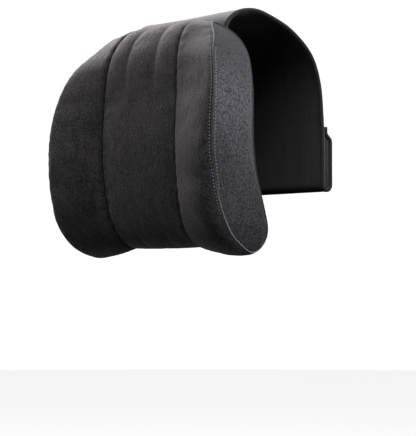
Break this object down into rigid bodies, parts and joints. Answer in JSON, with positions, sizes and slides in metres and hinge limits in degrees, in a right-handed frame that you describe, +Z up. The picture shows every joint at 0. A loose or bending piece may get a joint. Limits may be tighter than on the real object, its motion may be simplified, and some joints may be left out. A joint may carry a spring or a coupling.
{
  "type": "car neck pillow",
  "caption": "Winged car neck pillow with a ribbed centre, piped end panels and a weighted flap that hangs over the headrest.",
  "frame": {"origin": "middle of the flat rear face that bears on the headrest", "axes": "-Y towards the occupant, +Y into the headrest, +Z up, +X towards the pillow's right end seen from the occupant's side"},
  "size_m": [0.276, 0.2048, 0.2413],
  "materials": {
    "front_suede": "black suede cloth with a short soft nap",
    "end_suede": "charcoal suede cloth, nap brushed the other way",
    "piping": "thin grey corded edge",
    "back_lining": "plain black knitted lining",
    "flap_cloth": "black suede cloth, doubled",
    "foam": "soft open foam, hidden",
    "steel": "plain flat bar, hidden"
  },
  "bodies": {
    "root": {"centre_panel": "front_suede", "left_wing_panel": "front_suede", "right_wing_panel": "front_suede", "left_end_panel": "end_suede", "right_end_panel": "end_suede", "left_piping": "piping", "right_piping": "piping", "back_panel": "back_lining", "hanging_flap": "flap_cloth", "foam_core": "foam", "flap_weight": "steel"}
  },
  "joints": []
}
